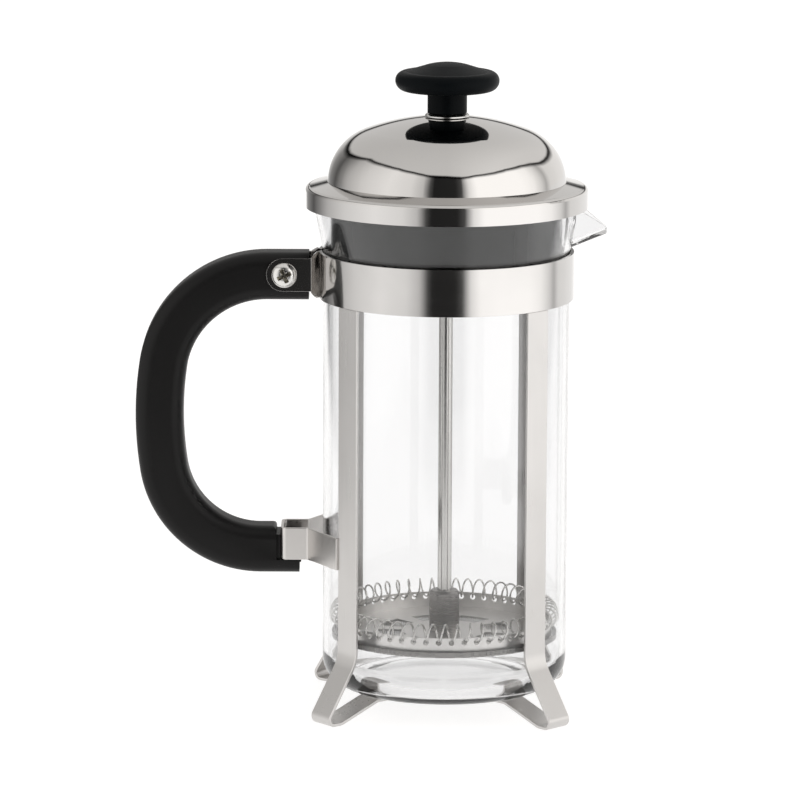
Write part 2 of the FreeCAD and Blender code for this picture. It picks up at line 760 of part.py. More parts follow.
def spout_section(body, name, across, low, arc, half, top):
    """One upright section of the spout: a round bottom with straight sides that open upwards."""
    section = new_sketch(body, "YZ_Plane", name, across)
    corners = [
        ("0", low, arc, 1),
        (f"{arc} * 0.8", f"{low} + {arc} * 0.4"),
        (half, top),
        (f"-({half})", top),
        (f"-{arc} * 0.8", f"{low} + {arc} * 0.4", arc, 1),
    ]
    outline(section, corners)
    return section


def make_dome():
    """The pressed dome with its flange and skirt, one sheet."""
    body = new_body("lid_dome")
    profile = new_sketch(body, "XZ_Plane", "dome_profile")
    hole = "(bush_neck + running_gap)"
    inner_crown = "(crown_radius - lid_sheet)"
    inner_corner = "(dome_corner - lid_sheet)"
    foot_up = "(flange_edge_top + flange_slope)"
    centre_x = "(dome_foot - dome_corner)"
    corner_x = f"({centre_x} + sqrt(pow(dome_corner; 2) - pow({foot_up} - dome_base; 2)))"
    inner_x = f"({centre_x} + sqrt(pow({inner_corner}; 2) - pow({foot_up} - lid_sheet - dome_base; 2)))"
    edge = "(flange_radius - flange_round)"
    outer_join = f"{CROWN_CENTRE} + crown_radius * {JOIN_SHARE_Z}"
    inner_join = f"{CROWN_CENTRE} + {inner_crown} * {JOIN_SHARE_Z}"
    corners = [
        (hole, f"{CROWN_CENTRE} + sqrt(pow(crown_radius; 2) - pow({hole}; 2))", "crown_radius", -1),
        (f"crown_radius * {JOIN_SHARE_X}", outer_join, "dome_corner", -1),
        (corner_x, foot_up),
        (edge, "flange_edge_top", "flange_round", -1),
        ("flange_radius", "flange_edge_top - flange_round"),
        ("flange_radius", "skirt_bottom"),
        ("flange_radius - lid_sheet", "skirt_bottom"),
        ("flange_radius - lid_sheet", "flange_edge_top - flange_round", "flange_round - lid_sheet", 1),
        (edge, "flange_edge_top - lid_sheet"),
        (inner_x, f"{foot_up} - lid_sheet", inner_corner, 1),
        (f"{inner_crown} * {JOIN_SHARE_X}", inner_join, inner_crown, 1),
        (hole, f"{CROWN_CENTRE} + sqrt(pow({inner_crown}; 2) - pow({hole}; 2))"),
    ]
    outline(profile, corners)
    revolve(body, profile)


def make_collar():
    """The plastic insert: a seat under the dome, a slotted web and a skirt that hangs in the glass."""
    body = new_body("lid_collar")
    profile = new_sketch(body, "XZ_Plane", "collar_profile")
    seat = "(flange_radius - lid_sheet - collar_edge_gap)"
    inner = "(collar_radius - collar_wall)"
    corners = [
        ("rod_radius + collar_bore_gap", COLLAR_UNDER),
        (inner, COLLAR_UNDER),
        (inner, "collar_bottom"),
        ("collar_radius", "collar_bottom"),
        ("collar_radius", COLLAR_UNDER),
        (seat, COLLAR_UNDER),
        (seat, COLLAR_TOP),
        ("rod_radius + collar_bore_gap", COLLAR_TOP),
    ]
    outline(profile, corners)
    revolve(body, profile)
    slot = new_sketch(body, "XY_Plane", "pour_slot", f"{COLLAR_UNDER} - clear_by")
    half = "(slot_width / 2)"
    corners = [
        ("slot_inner", f"-{half}"),
        ("slot_outer", f"-{half}", half, 1),
        (f"slot_outer + {half}", "0", half, 1),
        ("slot_outer", half),
        ("slot_inner", half, half, 1),
        (f"slot_inner - {half}", "0", half, 1),
    ]
    outline(slot, corners)
    cut = pocket(body, slot, "web_thick + 2 * clear_by", reverse=True)
    around(body, cut, "12")


def make_bush():
    body = new_body("lid_bushing")
    profile = new_sketch(body, "XZ_Plane", "bush_profile")
    bore = "(rod_radius + rod_gap)"
    under = f"({BUSH_SEAT} + bush_gap)"
    foot = f"({APEX} - lid_sheet - bush_drop)"
    corners = [
        (bore, foot),
        ("bush_neck", foot),
        ("bush_neck", under),
        ("bush_radius", under),
        ("bush_radius", f"{BUSH_TOP} - bush_edge"),
        ("bush_radius - bush_edge", BUSH_TOP),
        (bore, BUSH_TOP),
    ]
    outline(profile, corners)
    revolve(body, profile)


def make_clip():
    body = new_body("lid_clip")
    profile = new_sketch(body, "XZ_Plane", "clip_profile")
    top = f"({APEX} - lid_sheet - clip_gap)"
    rectangle(profile, "bush_neck", f"{top} - clip_tall", "bush_radius", top)
    revolve(body, profile)


def make_rod():
    body = new_body("plunger_rod")
    profile = new_sketch(body, "XZ_Plane", "rod_profile")
    foot = f"({SPIRAL_TOP} + rod_seat)"
    top = f"({KNOB_UNDER} + insert_tall - socket_gap)"
    corners = [
        ("0", foot),
        ("rod_radius - rod_edge", foot),
        ("rod_radius", f"{foot} + rod_edge"),
        ("rod_radius", top),
        ("0", top),
    ]
    outline(profile, corners)
    revolve(body, profile)


def make_knob():
    body = new_body("knob_grip")
    profile = new_sketch(body, "XZ_Plane", "knob_profile")
    socket_top = f"({KNOB_UNDER} + insert_tall + socket_gap)"
    lower_in = "(knob_radius - knob_under_round)"
    upper_in = "(knob_radius - knob_top_round)"
    under = f"({KNOB_UNDER} + knob_under_round * 0.07)"
    waist = f"({KNOB_UNDER} + knob_rim_tall * 0.55)"
    cap_foot = "(knob_radius * 0.38)"
    cap_rise = "(knob_crown * 0.27)"
    corners = [
        ("0", socket_top),
        ("insert_radius", socket_top),
        ("insert_radius", STEM_FOOT),
        ("stem_radius - stem_edge", STEM_FOOT),
        ("stem_radius", f"{STEM_FOOT} + stem_edge"),
        ("stem_radius", KNOB_UNDER),
        (lower_in, under, rounding("knob_under_round", f"({waist} - {under})"), 1),
        ("knob_radius", waist, rounding("knob_top_round", f"({KNOB_RIM_TOP} - {waist})"), 1),
        (upper_in, KNOB_RIM_TOP),
        (cap_foot, f"{KNOB_TOP} - {cap_rise}", rounding(cap_rise, cap_foot), 1),
        ("0", KNOB_TOP),
    ]
    outline(profile, corners)
    revolve(body, profile)


def make_insert():
    body = new_body("knob_insert")
    profile = new_sketch(body, "XZ_Plane", "insert_profile")
    foot = f"({STEM_FOOT} + insert_lift)"
    rectangle(profile, "rod_radius", foot, "insert_radius", f"{KNOB_UNDER} + insert_tall")
    revolve(body, profile)


def make_cross_plate():
    """The bottom plate with its turned-up edge and large openings."""
    body = new_body("cross_plate")
    profile = new_sketch(body, "XZ_Plane", "cross_profile")
    corners = [
        ("stud_radius", "stack_bottom"),
        ("cross_radius", "stack_bottom"),
        ("cross_radius", "stack_bottom + plate_sheet"),
        ("stud_radius", "stack_bottom + plate_sheet"),
    ]
    outline(profile, corners)
    revolve(body, profile)
    window = new_sketch(body, "XY_Plane", "cross_window", "stack_bottom - clear_by")
    ring(window, "cross_radius * 0.56", "0", "cross_radius * 0.26")
    cut = pocket(body, window, "plate_sheet + 2 * clear_by", reverse=True)
    around(body, cut, "6")


def make_mesh():
    """The woven screen, a thin disc with its edge folded up."""
    body = new_body("filter_mesh")
    profile = new_sketch(body, "XZ_Plane", "mesh_profile")
    corners = [
        ("stud_radius", MESH_LOW),
        ("mesh_radius", MESH_LOW),
        ("mesh_radius", f"{MESH_LOW} + mesh_lip"),
        ("mesh_radius - mesh_sheet", f"{MESH_LOW} + mesh_lip"),
        ("mesh_radius - mesh_sheet", f"{MESH_LOW} + mesh_sheet"),
        ("stud_radius", f"{MESH_LOW} + mesh_sheet"),
    ]
    outline(profile, corners)
    revolve(body, profile)


def make_spiral_plate():
    """The pressed plate: eight curved slots and an upstanding rim with a hole for each spring loop."""
    body = new_body("spiral_plate")
    profile = new_sketch(body, "XZ_Plane", "spiral_profile")
    corners = [
        ("stud_radius", SPIRAL_LOW),
        ("rim_radius", SPIRAL_LOW),
        ("rim_radius", "rim_top"),
        ("rim_radius - plate_sheet", "rim_top"),
        ("rim_radius - plate_sheet", SPIRAL_TOP),
        ("stud_radius", SPIRAL_TOP),
    ]
    outline(profile, corners)
    revolve(body, profile)
    slot = new_sketch(body, "XY_Plane", "arc_slot", f"{SPIRAL_LOW} - clear_by")
    inner, outer = "(rim_radius * 0.4)", "(rim_radius * 0.62)"
    corners = [
        (inner, "0"),
        (outer, "0", outer, 1),
        (f"{outer} * cos(30)", f"{outer} * sin(30)"),
        (f"{inner} * cos(30)", f"{inner} * sin(30)", inner, -1),
    ]
    outline(slot, corners)
    cut = pocket(body, slot, "plate_sheet + 2 * clear_by", reverse=True)
    around(body, cut, "8")
    hole = new_sketch(body, "YZ_Plane", "rim_holes")
    ring(hole, "0", HOLE_HEIGHT, "rim_hole")
    cut = pocket(body, hole, "rim_radius + clear_by", reverse=True)
    around(body, cut, "spring_loops")


def make_hub():
    body = new_body("filter_hub")
    profile = new_sketch(body, "XZ_Plane", "hub_profile")
    blind = f"({SPIRAL_TOP} + rod_seat - running_gap)"
    corners = [
        ("stud_radius", SPIRAL_TOP),
        ("hub_radius", SPIRAL_TOP),
        ("hub_radius", "hub_top - hub_edge"),
        ("hub_radius - hub_edge", "hub_top"),
        ("rod_radius + thread_gap", "hub_top"),
        ("rod_radius + thread_gap", blind),
        ("stud_radius", blind),
    ]
    outline(profile, corners)
    revolve(body, profile)


def make_stud():
    body = new_body("filter_stud")
    profile = new_sketch(body, "XZ_Plane", "stud_profile")
    stud_top = f"({SPIRAL_TOP} + rod_seat - 3 * running_gap)"
    corners = [
        ("0", "stack_bottom - stud_head_tall"),
        ("stud_head - stud_edge", "stack_bottom - stud_head_tall"),
        ("stud_head", "stack_bottom - stud_head_tall + stud_edge"),
        ("stud_head", "stack_bottom"),
        ("stud_radius", "stack_bottom"),
        ("stud_radius", stud_top),
        ("0", stud_top),
    ]
    outline(profile, corners)
    revolve(body, profile)


def make_spring():
    """The spring's loops, each standing in the plane through the axis and threaded through its rim hole."""
    spring = doc.addObject("Part::Feature", "filter_spring")
    spring.Label = "filter_spring"
    loop_middle = measure(LOOP_MIDDLE)
    loop_height = measure(LOOP_HEIGHT)
    count = round(measure("spring_loops"))
    loops = []
    for step in range(count):
        angle = 2 * math.pi * step / count
        out = FreeCAD.Vector(math.cos(angle), math.sin(angle), 0)
        centre = out * loop_middle + FreeCAD.Vector(0, 0, loop_height)
        normal = FreeCAD.Vector(-out.y, out.x, 0)
        loops.append(Part.makeTorus(measure("spring_loop"), measure("spring_wire"), centre, normal))
    spring.Shape = Part.makeCompound(loops)
    spring.Placement = FreeCAD.Placement()
    NODES.append(spring)


def write_parts():
    """Check every object, then write each piece to its own file."""
    doc.recompute()
    faults = [item.Name for item in doc.Objects if "Invalid" in item.State or "Error" in item.State]
    for node in NODES:
        if node.Shape.isNull() or not node.Shape.isValid():
            faults.append(node.Label + " shape")
    if faults:
        raise RuntimeError("faulty: " + ", ".join(faults))
    for node in NODES:
        node.Shape.exportStep(f"parts/{node.Label}.step")
        print(node.Label, round(node.Shape.Volume, 1), len(node.Shape.Solids))


make_band()
LEGS = {
    "frame_leg_rear_right": "leg_angle",
    "frame_leg_rear_left": "180 - handle_leg_angle",
    "frame_leg_front_left": "180 + handle_leg_angle",
    "frame_leg_front_right": "360 - leg_angle",
}
for leg_name, leg_turn in LEGS.items():
    make_leg(leg_name, leg_turn)
make_bracket()
make_grip()
make_screw()
make_nut()
make_beaker()
make_dome()
make_collar()
make_bush()
make_clip()
make_rod()
make_knob()
make_insert()
make_cross_plate()
make_mesh()
make_spiral_plate()
make_hub()
make_stud()
make_spring()
write_parts()
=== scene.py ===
import json
import math

import bmesh
import bpy
from mathutils import Matrix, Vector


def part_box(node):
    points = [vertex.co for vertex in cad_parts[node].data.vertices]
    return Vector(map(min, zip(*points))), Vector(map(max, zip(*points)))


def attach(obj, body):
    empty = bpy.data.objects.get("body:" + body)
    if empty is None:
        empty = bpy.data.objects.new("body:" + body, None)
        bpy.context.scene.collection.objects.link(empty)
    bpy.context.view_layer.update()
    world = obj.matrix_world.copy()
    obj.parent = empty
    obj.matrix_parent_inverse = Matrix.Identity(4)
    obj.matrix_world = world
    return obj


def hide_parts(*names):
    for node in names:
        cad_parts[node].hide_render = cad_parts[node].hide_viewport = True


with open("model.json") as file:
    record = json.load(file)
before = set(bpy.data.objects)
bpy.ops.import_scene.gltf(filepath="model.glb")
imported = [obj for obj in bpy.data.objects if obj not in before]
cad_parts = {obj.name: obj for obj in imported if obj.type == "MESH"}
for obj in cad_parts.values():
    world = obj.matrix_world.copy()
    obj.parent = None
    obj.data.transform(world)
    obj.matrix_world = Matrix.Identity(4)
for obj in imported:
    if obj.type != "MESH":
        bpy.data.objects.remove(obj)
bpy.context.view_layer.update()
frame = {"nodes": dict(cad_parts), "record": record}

# The screw's pan head and the cross recess in it, in metres.
HEAD_RISE = 0.0021
HEAD_STEPS = 30
SHANK_RADIUS = 0.00195
SHANK_LENGTH = 0.0024
RECESS_TURN = math.radians(24)
RECESS_REACH = 0.0021
RECESS_HALF_WIDTH = 0.00058
RECESS_DEPTH = 0.0014
RECESS_END_SLOPE = 0.0004
RECESS_SIDE_SLOPE = 0.00022
# Where the painted shade at the bottom of the cross recess begins and where it is full, by depth into the
# head.
RECESS_SHADE_START = 0.0006
RECESS_SHADE_FULL = 0.0010

# How far the even part of the floor reaches beside and before the object, and how it looks there.
EVEN_SIDE = 0.30
EVEN_FRONT = 0.32
EVEN_FADE = 0.08
EVEN_GLOW = 0.88
EVEN_GREY = 0.28


# ---------------------------------------------------------------- shader expressions

class Tone:
    """A shader socket that can be used in ordinary arithmetic."""

    def __init__(self, paint, socket):
        self.paint = paint
        self.socket = socket

    def __add__(self, other):
        return self.paint.maths("ADD", self, other)

    def __radd__(self, other):
        return self.paint.maths("ADD", other, self)

    def __sub__(self, other):
        return self.paint.maths("SUBTRACT", self, other)

    def __rsub__(self, other):
        return self.paint.maths("SUBTRACT", other, self)

    def __mul__(self, other):
        return self.paint.maths("MULTIPLY", self, other)

    def __rmul__(self, other):
        return self.paint.maths("MULTIPLY", other, self)

    def __truediv__(self, other):
        return self.paint.maths("DIVIDE", self, other)

    def __rtruediv__(self, other):
        return self.paint.maths("DIVIDE", other, self)


class Paint:
    """One material under construction."""

    def __init__(self, name):
        self.material = bpy.data.materials.new(name)
        self.material.use_nodes = True
        self.tree = self.material.node_tree
        self.tree.nodes.clear()

    def node(self, kind, settings=None, inputs=None, output=0):
        """Add a node: its settings first, then the values or links of its sockets."""
        made = self.tree.nodes.new(kind)
        for key, value in (settings or {}).items():
            if key == "stops":
                self.set_stops(made.color_ramp, value)
            else:
                setattr(made, key, value)
        for key, value in (inputs or {}).items():
            socket = made.inputs[key]
            if isinstance(value, Tone):
                self.tree.links.new(value.socket, socket)
            else:
                socket.default_value = value
        return Tone(self, made.outputs[output])

    def maths(self, operation, *values):
        """One Math node on tones and plain numbers."""
        return self.node("ShaderNodeMath", {"operation": operation}, dict(enumerate(values)))

    def set_stops(self, ramp, stops):
        """Fill a colour ramp from (place, level) pairs in rising order."""
        first, last = ramp.elements[0], ramp.elements[1]
        first.position, last.position = stops[0][0], stops[-1][0]
        first.color = self.grey(stops[0][1])
        last.color = self.grey(stops[-1][1])
        for spot, level in stops[1:-1]:
            ramp.elements.new(spot).color = self.grey(level)

    def grey(self, level):
        """A plain grey as a colour."""
        return (level, level, level, 1.0)

    def split(self, vector):
        """The three parts of a vector."""
        parts = self.tree.nodes.new("ShaderNodeSeparateXYZ")
        self.tree.links.new(vector.socket, parts.inputs[0])
        return [Tone(self, parts.outputs[axis]) for axis in "XYZ"]

    def join(self, red, green, blue):
        """A colour from its three parts."""
        return self.node("ShaderNodeCombineColor", {}, {0: red, 1: green, 2: blue})

    def place(self, scale=(1, 1, 1), shift=(0, 0, 0)):
        """Object coordinates in metres, scaled and moved."""
        where = self.node("ShaderNodeTexCoord", output="Object")
        return self.node("ShaderNodeMapping", {}, {"Vector": where, "Location": shift, "Scale": scale})

    def noise(self, where, scale, detail=2.0, roughness=0.5):
        inputs = {"Vector": where, "Scale": scale, "Detail": detail, "Roughness": roughness}
        return self.node("ShaderNodeTexNoise", {}, inputs, output="Fac")

    def between(self, mask, low, high):
        """Mix two plain colours by a mask."""
        settings = {"data_type": "RGBA"}
        return self.node("ShaderNodeMix", settings, {0: mask, 6: (*low, 1.0), 7: (*high, 1.0)}, output=2)

    def span(self, value, low, high, to_low, to_high):
        """Carry a value from one range to another, held at the ends."""
        inputs = {"Value": value, "From Min": low, "From Max": high, "To Min": to_low, "To Max": to_high}
        return self.node("ShaderNodeMapRange", {"clamp": True}, inputs)

    def bump(self, height, strength, distance):
        return self.node("ShaderNodeBump", {}, {"Height": height, "Strength": strength, "Distance": distance})

    def bearing(self, across, deep):
        """The bearing round the upright axis as a share of a turn: a half faces the camera."""
        return self.maths("ARCTAN2", across, deep * -1.0) / (2 * math.pi) + 0.5

    def finish(self, **inputs):
        """Close the material with a Principled shader; underscores stand for spaces."""
        sockets = {key.replace("_", " "): value for key, value in inputs.items()}
        shader = self.node("ShaderNodeBsdfPrincipled", {}, sockets)
        out = self.tree.nodes.new("ShaderNodeOutputMaterial")
        self.tree.links.new(shader.socket, out.inputs["Surface"])
        return self.material


# ---------------------------------------------------------------- finishes

def rolled_steel(name, tint, roughness, grain, along=(1, 1, 1)):
    """Steel with a fine rolled grain: streaks run along the axis whose scale is smallest."""
    paint = Paint(name)
    where = paint.place(scale=along)
    streak = paint.noise(where, 900.0, 3.0, 0.6)
    cloud = paint.noise(paint.place(), 45.0, 3.0, 0.55)
    rough = paint.span(streak * 0.6 + cloud * 0.4, 0.3, 0.7, roughness * 0.82, roughness * 1.22)
    dark = tuple(part * 0.94 for part in tint)
    colour = paint.between(paint.span(cloud, 0.35, 0.65, 0.0, 1.0), dark, tint)
    bump = paint.bump(streak, grain, 0.00002)
    return paint.finish(Base_Color=colour, Metallic=1.0, Roughness=rough, Normal=bump)


def mirror_steel(name, tint, roughness):
    """Mirror-polished steel with faint wiping marks in its gloss."""
    paint = Paint(name)
    swirl = paint.noise(paint.place(), 120.0, 4.0, 0.6)
    rough = paint.span(swirl, 0.35, 0.7, roughness * 0.7, roughness * 1.5)
    return paint.finish(Base_Color=(*tint, 1.0), Metallic=1.0, Roughness=rough)


def moulded_black(name, shade, roughness, pebble, sheen):
    """Black moulding with the fine spark-eroded texture of its mould."""
    paint = Paint(name)
    fine = paint.noise(paint.place(), 2600.0, 2.0, 0.6)
    broad = paint.noise(paint.place(), 60.0, 2.0, 0.5)
    rough = paint.span(fine * 0.5 + broad * 0.5, 0.3, 0.7, roughness * 0.88, roughness * 1.15)
    light = tuple(part * 1.35 for part in shade)
    colour = paint.between(paint.span(fine, 0.4, 0.65, 0.0, 1.0), shade, light)
    bump = paint.bump(fine, pebble, 0.00008)
    return paint.finish(Base_Color=colour, Roughness=rough, Normal=bump, Specular_IOR_Level=sheen)


def gloss_black(name):
    """Glossy black moulding with faint upright streaks painted lighter into its colour, a painted reflection;
    its gloss and bump vary along the same streaks.
    """
    paint = Paint(name)
    wave = paint.noise(paint.place(scale=(1, 1, 0.05)), 260.0, 3.0, 0.6)
    broad = paint.noise(paint.place(scale=(1, 1, 0.3)), 38.0, 2.0, 0.5)
    rough = paint.span(wave, 0.3, 0.7, 0.10, 0.24)
    # Painted reflection: the colour is lighter in faint upright streaks.
    mask = paint.span(wave * 0.45 + broad * 0.55, 0.38, 0.62, 0.0, 1.0)
    colour = paint.between(mask, (0.006, 0.007, 0.007), (0.030, 0.031, 0.031))
    bump = paint.bump(wave, 0.12, 0.00006)
    return paint.finish(Base_Color=colour, Roughness=rough, Normal=bump, Specular_IOR_Level=0.3)


def clear_glass():
    """Blown glass with a very slight waviness."""
    paint = Paint("clear_glass")
    wave = paint.noise(paint.place(), 55.0, 1.0, 0.4)
    bump = paint.bump(wave, 0.12, 0.0004)
    return paint.finish(Base_Color=(0.932, 0.934, 0.938, 1.0), Roughness=0.0, IOR=1.47,
                        Transmission_Weight=1.0, Normal=bump)


def turned_metal(name, tint, roughness):
    """Turned metal: rings of tool marks along the upright axis."""
    paint = Paint(name)
    ring = paint.noise(paint.place(scale=(0.02, 0.02, 1.0)), 2500.0, 2.0, 0.6)
    rough = paint.span(ring, 0.3, 0.7, roughness * 0.75, roughness * 1.3)
    bump = paint.bump(ring, 0.12, 0.00002)
    return paint.finish(Base_Color=(*tint, 1.0), Metallic=1.0, Roughness=rough, Normal=bump)


def screw_head_steel():
    """Bright screw steel with painted shade darkening the bottom of the cross recess."""
    paint = Paint("screw_head_steel")
    low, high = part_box("handle_screw")
    to_head = (-(low.x + high.x) / 2, -low.y, -(low.z + high.z) / 2)
    across, deep, up = paint.split(paint.place(shift=to_head))
    reach = paint.maths("SQRT", across * across + up * up)
    inside = paint.span(reach, RECESS_REACH, RECESS_REACH + RECESS_END_SLOPE, 1.0, 0.0)
    # Painted shade: the colour darkens towards the bottom of the cross recess.
    recess_shade = paint.span(deep, RECESS_SHADE_START, RECESS_SHADE_FULL, 0.0, 1.0) * inside
    mark = paint.noise(paint.place(), 1500.0, 3.0, 0.6)
    colour = paint.between(recess_shade, (0.74, 0.73, 0.71), (0.34, 0.32, 0.27))
    rough = paint.span(mark, 0.3, 0.7, 0.14, 0.30)
    bump = paint.bump(mark, 0.1, 0.00002)
    return paint.finish(Base_Color=colour, Metallic=1.0, Roughness=rough, Normal=bump)


def woven_screen():
    """Fine woven wire: two crossed sets of waves, open between the wires."""
    paint = Paint("woven_screen")
    waves = []
    for direction in ("X", "Y"):
        settings = {"wave_type": "BANDS", "bands_direction": direction, "wave_profile": "SIN"}
        inputs = {"Vector": paint.place(), "Scale": 520.0}
        waves.append(paint.node("ShaderNodeTexWave", settings, inputs, output="Fac"))
    wires = paint.maths("MAXIMUM", waves[0], waves[1])
    alpha = paint.span(wires, 0.45, 0.6, 0.0, 1.0)
    bump = paint.bump(wires, 0.4, 0.0001)
    return paint.finish(Base_Color=(0.30, 0.29, 0.28, 1.0), Metallic=1.0, Roughness=0.35, Alpha=alpha,
                        Normal=bump)


STEEL = (0.62, 0.605, 0.59)
FINISHES = {
    "polished_strap": rolled_steel("polished_strap", STEEL, 0.10, 0.03, (0.04, 0.04, 1.0)),
    "satin_strap": rolled_steel("satin_strap", STEEL, 0.30, 0.08, (1.0, 1.0, 0.03)),
    "polished_lid": mirror_steel("polished_lid", STEEL, 0.055),
    "black_moulding": moulded_black("black_moulding", (0.0035, 0.0032, 0.0032), 0.42, 0.25, 0.22),
    "matte_knob": moulded_black("matte_knob", (0.0018, 0.0028, 0.0035), 0.45, 0.4, 0.06),
    "black_insert": gloss_black("black_insert"),
    "screw_steel": turned_metal("screw_steel", (0.64, 0.63, 0.61), 0.2),
    "screw_head": screw_head_steel(),
    "hub_steel": turned_metal("hub_steel", (0.34, 0.325, 0.315), 0.30),
    "bracket_strap": rolled_steel("bracket_strap", (0.66, 0.64, 0.62), 0.30, 0.06),
    "clear_glass": clear_glass(),
    "brass_sleeve": turned_metal("brass_sleeve", (0.72, 0.52, 0.22), 0.25),
    "filter_steel": rolled_steel("filter_steel", (0.80, 0.785, 0.765), 0.34, 0.06),
    "spring_wire": mirror_steel("spring_wire", (0.72, 0.71, 0.69), 0.22),
    "woven_screen": woven_screen(),
}
# These pieces wear another finish than their slot's: the hub is duller, the screw's head has painted shade
# at the bottom of its recess and the bracket is paler than the legs.
OWN_FINISHES = {"filter_hub": "hub_steel", "handle_screw": "screw_head", "handle_bracket": "bracket_strap"}
SLOTS = {row["node"]: row["material_slot"] for row in frame["record"]["subparts"]}
BODIES = frame["record"]["behaviour"]["bodies"]
RIDES = {node: body for body, nodes in BODIES.items() for node in nodes}


def finish_of(node):
    """The finish that a node wears: its own, or else its slot's."""
    return FINISHES[OWN_FINISHES.get(node, SLOTS[node])]


for name, carried in frame["nodes"].items():
    for slot in carried.material_slots:
        slot.material = finish_of(name)


# ---------------------------------------------------------------- pieces

SOFT_CREASE = math.radians(20)
SHARP_EDGE = math.radians(28)
WELD = 2e-6


def new_object(name, data):
    """An object at the origin, linked to the scene."""
    made = bpy.data.objects.new(name, data)
    bpy.context.scene.collection.objects.link(made)
    return made


def mesh_of(name, shape):
    """Close a bmesh into a mesh."""
    mesh = bpy.data.meshes.new(name)
    shape.to_mesh(mesh)
    shape.free()
    return mesh


def place_piece(name, mesh, node, crease=SOFT_CREASE):
    """A piece that stands for a CAD node, rides on its body and wears its finish."""
    piece = new_object(name, mesh)
    mesh.materials.append(finish_of(node))
    mesh.shade_smooth()
    mesh.set_sharp_from_angle(angle=crease)
    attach(piece, RIDES[node])
    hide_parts(node)


def soften_edges(node, width):
    """A copy of a CAD node with its sharp edges rolled over, as a stamped or moulded piece has."""
    shape = bmesh.new()
    shape.from_mesh(frame["nodes"][node].data)
    bmesh.ops.remove_doubles(shape, verts=shape.verts, dist=WELD)
    bmesh.ops.dissolve_limit(shape, angle_limit=math.radians(0.6), verts=shape.verts, edges=shape.edges)
    sharp = [edge for edge in shape.edges
             if len(edge.link_faces) == 2 and edge.calc_face_angle(0.0) > SHARP_EDGE]
    bmesh.ops.bevel(shape, geom=sharp, offset=width, offset_type="OFFSET", segments=2, profile=0.5,
                    affect="EDGES", clamp_overlap=True, material=-1)
    name = node + "_finished"
    place_piece(name, mesh_of(name, shape), node)


def make_spring():
    """The one coiled wire, threaded round the filter's rim."""
    low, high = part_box("filter_spring")
    loops = 54
    steps = 18
    wire = 0.00028
    loop = (high.z - low.z) / 2 - wire
    middle = high.x - wire - loop
    height = (high.z + low.z) / 2
    curve = bpy.data.curves.new("spring_line", "CURVE")
    curve.dimensions = "3D"
    curve.bevel_depth = wire
    curve.bevel_resolution = 1
    line = curve.splines.new("POLY")
    line.points.add(loops * steps - 1)
    line.use_cyclic_u = True
    for index, point in enumerate(line.points):
        turn = 2 * math.pi * (index % steps) / steps - math.pi / 2
        way_round = 2 * math.pi * index / (loops * steps)
        radius = middle + loop * math.cos(turn)
        across, deep = radius * math.cos(way_round), radius * math.sin(way_round)
        point.co = (across, deep, height + loop * math.sin(turn), 1)
    holder = new_object("spring_line", curve)
    mesh = bpy.data.meshes.new_from_object(holder)
    bpy.data.objects.remove(holder)
    place_piece("filter_spring_coil", mesh, "filter_spring", math.radians(80))


def recess_share(across, up):
    """How deep the cross recess is at a place on the head, from 0 outside it to 1 on its floor."""
    far, near = max(abs(across), abs(up)), min(abs(across), abs(up))
    along = min(max((RECESS_REACH - far) / RECESS_END_SLOPE, 0.0), 1.0)
    aside = min(max((RECESS_HALF_WIDTH - near) / RECESS_SIDE_SLOPE, 0.0), 1.0)
    return along * aside


def make_screw_head():
    """The pan head with its cross recess, on its shank."""
    low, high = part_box("handle_screw")
    shape = bmesh.new()
    radius = (high.x - low.x) / 2
    line = [(0.0, HEAD_RISE)]
    for step in range(1, HEAD_STEPS + 1):
        reach = radius * step / HEAD_STEPS
        line.append((reach, HEAD_RISE * math.sqrt(max(1 - (reach / (radius * 1.02)) ** 3.4, 0.0))))
    line += [(radius, 0.0), (SHANK_RADIUS, 0.0), (SHANK_RADIUS, -SHANK_LENGTH), (0.0, -SHANK_LENGTH)]
    points = [shape.verts.new((reach, 0.0, height)) for reach, height in line]
    edges = [shape.edges.new(pair) for pair in zip(points, points[1:])]
    bmesh.ops.spin(shape, geom=points + edges, cent=(0, 0, 0), axis=(0, 0, 1), angle=2 * math.pi, steps=96,
                   use_merge=True)
    bmesh.ops.remove_doubles(shape, verts=shape.verts, dist=1e-7)
    bmesh.ops.recalc_face_normals(shape, faces=shape.faces)
    for vert in shape.verts:
        if vert.co.z > 0.0:
            across = vert.co.x * math.cos(RECESS_TURN) + vert.co.y * math.sin(RECESS_TURN)
            up = vert.co.y * math.cos(RECESS_TURN) - vert.co.x * math.sin(RECESS_TURN)
            vert.co.z -= RECESS_DEPTH * recess_share(across, up)
    to_head = ((low.x + high.x) / 2, low.y + HEAD_RISE, (low.z + high.z) / 2)
    bmesh.ops.rotate(shape, verts=shape.verts, cent=(0, 0, 0), matrix=Matrix.Rotation(math.pi / 2, 3, "X"))
    bmesh.ops.translate(shape, verts=shape.verts, vec=to_head)
    name = "handle_screw_finished"
    place_piece(name, mesh_of(name, shape), "handle_screw", math.radians(50))


make_screw_head()
for corner in ("front_left", "front_right", "rear_left", "rear_right"):
    soften_edges("frame_leg_" + corner, 0.00018)
soften_edges("frame_band", 0.00015)
soften_edges("handle_bracket", 0.0002)
soften_edges("handle_grip", 0.0008)
make_spring()


# ---------------------------------------------------------------- stage, light and camera

# How bright the studio is round the horizon, by the bearing in degrees: 0 is the camera's side and a
# positive bearing is on the spout's side.
BEARINGS = [
    (-180, 1.00), (-153, 0.32), (-137, 0.12), (-124, 0.34), (-112, 0.64), (-90, 0.95),
    (-60, 1.18), (-36, 1.05), (-24, 0.75), (-17, 0.10), (-13, 0.022), (8, 0.026),
    (14, 0.10), (21, 1.15), (30, 1.55), (78, 1.55), (92, 1.40), (104, 1.00),
    (111, 0.62), (118, 1.02), (140, 1.08), (180, 1.00),
]

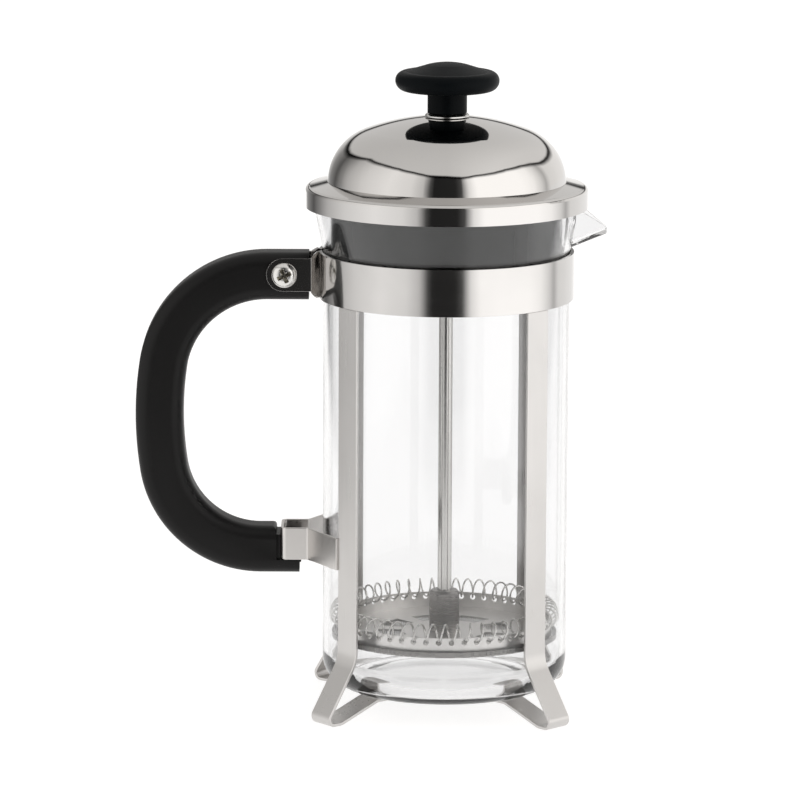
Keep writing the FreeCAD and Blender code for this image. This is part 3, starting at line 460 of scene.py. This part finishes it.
# The height in degrees of the frame between the soft boxes and the ceiling, by the same bearing.
FRAME_HEIGHTS = [
    (-180, 8.0), (-150, 18.0), (-140, 22.0), (-124, 31.0), (-111, 39.0), (-84, 43.5),
    (-61, 45.0), (-39, 43.0), (-19, 39.0), (0, 38.5), (16, 36.0), (33, 39.0),
    (72, 40.0), (94, 37.0), (108, 32.0), (121, 25.0), (150, 16.0), (180, 8.0),
]


def by_bearing(paint, bearing, rows, most):
    """A value that changes round the horizon, as a ramp of its rows over its greatest value."""
    stops = [((place + 180) / 360, value / most) for place, value in rows]
    return paint.node("ShaderNodeValToRGB", {"stops": stops}, {"Fac": bearing})


def horizon(paint, bearing):
    """The studio's brightness by bearing."""
    peak = max(level for place, level in BEARINGS)
    return by_bearing(paint, bearing, BEARINGS, peak) * peak


def make_stage():
    """A wide floor: evenly pale round the object, and as bright as the studio's horizon further off."""
    sweep = bmesh.new()
    bmesh.ops.create_grid(sweep, x_segments=1, y_segments=1, size=3.0)
    mesh = mesh_of("studio_floor", sweep)
    floor = new_object("studio_floor", mesh)
    paint = Paint("pale_floor")
    across, deep, up = paint.split(paint.node("ShaderNodeTexCoord", output="Object"))
    bearing = paint.bearing(across, deep)
    beside = paint.maths("ABSOLUTE", across) - EVEN_SIDE
    before = deep * -1.0 - EVEN_FRONT
    far = paint.span(paint.maths("MAXIMUM", beside, before), 0.0, EVEN_FADE, 0.0, 1.0)
    glow = horizon(paint, bearing) * far + (1 - far) * EVEN_GLOW
    grey = (1 - far) * EVEN_GREY
    mesh.materials.append(paint.finish(Base_Color=paint.join(grey, grey, grey), Roughness=0.9,
                                       Specular_IOR_Level=0.0, Emission_Strength=1.0,
                                       Emission_Color=paint.join(glow, glow * 0.992, glow * 0.985)))


class Sky(Paint):
    """The studio's light as a world."""

    def __init__(self):
        self.world = bpy.data.worlds.new("studio")
        self.world.use_nodes = True
        self.tree = self.world.node_tree
        self.tree.nodes.clear()

    def close(self, colour):
        background = self.tree.nodes.new("ShaderNodeBackground")
        self.tree.links.new(colour.socket, background.inputs["Color"])
        out = self.tree.nodes.new("ShaderNodeOutputWorld")
        self.tree.links.new(background.outputs["Background"], out.inputs["Surface"])
        bpy.context.scene.world = self.world


def make_light():
    """Soft boxes left and right, a dark gap at the camera, and a grey ceiling behind a thin dark frame."""
    sky = Sky()
    across, deep, up = sky.split(sky.node("ShaderNodeTexCoord", output="Generated"))
    bearing = sky.bearing(across, deep)
    walls = horizon(sky, bearing)
    frame_height = by_bearing(sky, bearing, FRAME_HEIGHTS, 90) * math.radians(90)
    rise = sky.maths("ARCSINE", up) - frame_height
    ceiling = sky.span(deep, -0.5, 0.5, 0.80, 0.72) * sky.span(across, 0.0, 0.6, 1.0, 1.28)
    over = sky.span(rise, math.radians(0.5), math.radians(3.5), 0.0, 1.0)
    seam = sky.span(rise, math.radians(-5.0), math.radians(-1.0), 1.0, 0.05) + over
    level = walls * (1 - over) * seam + ceiling * over
    sky.close(sky.join(level, level * 0.985, level * 0.968))


CAMERA_RANGE = 1.5
CAMERA_HEIGHT = 0.368
CAMERA_SIDE = -0.013
AIM_HEIGHT = 0.0884
CAMERA_ROLL = math.radians(0.25)
LENS = 240.4


def make_camera():
    """A long lens in front of the object, a little above it and looking slightly down."""
    data = bpy.data.cameras.new("camera")
    data.sensor_width = 36.0
    data.lens = LENS
    data.clip_end = 20.0
    camera = new_object("camera", data)
    tilt = math.atan2(CAMERA_HEIGHT - AIM_HEIGHT, CAMERA_RANGE)
    look = Matrix.Rotation(math.pi / 2 - tilt, 4, "X") @ Matrix.Rotation(CAMERA_ROLL, 4, "Z")
    camera.matrix_world = Matrix.Translation((CAMERA_SIDE, -CAMERA_RANGE, CAMERA_HEIGHT)) @ look
    bpy.context.scene.camera = camera


make_stage()
make_light()
make_camera()
bpy.context.scene.view_settings.view_transform = "Standard"
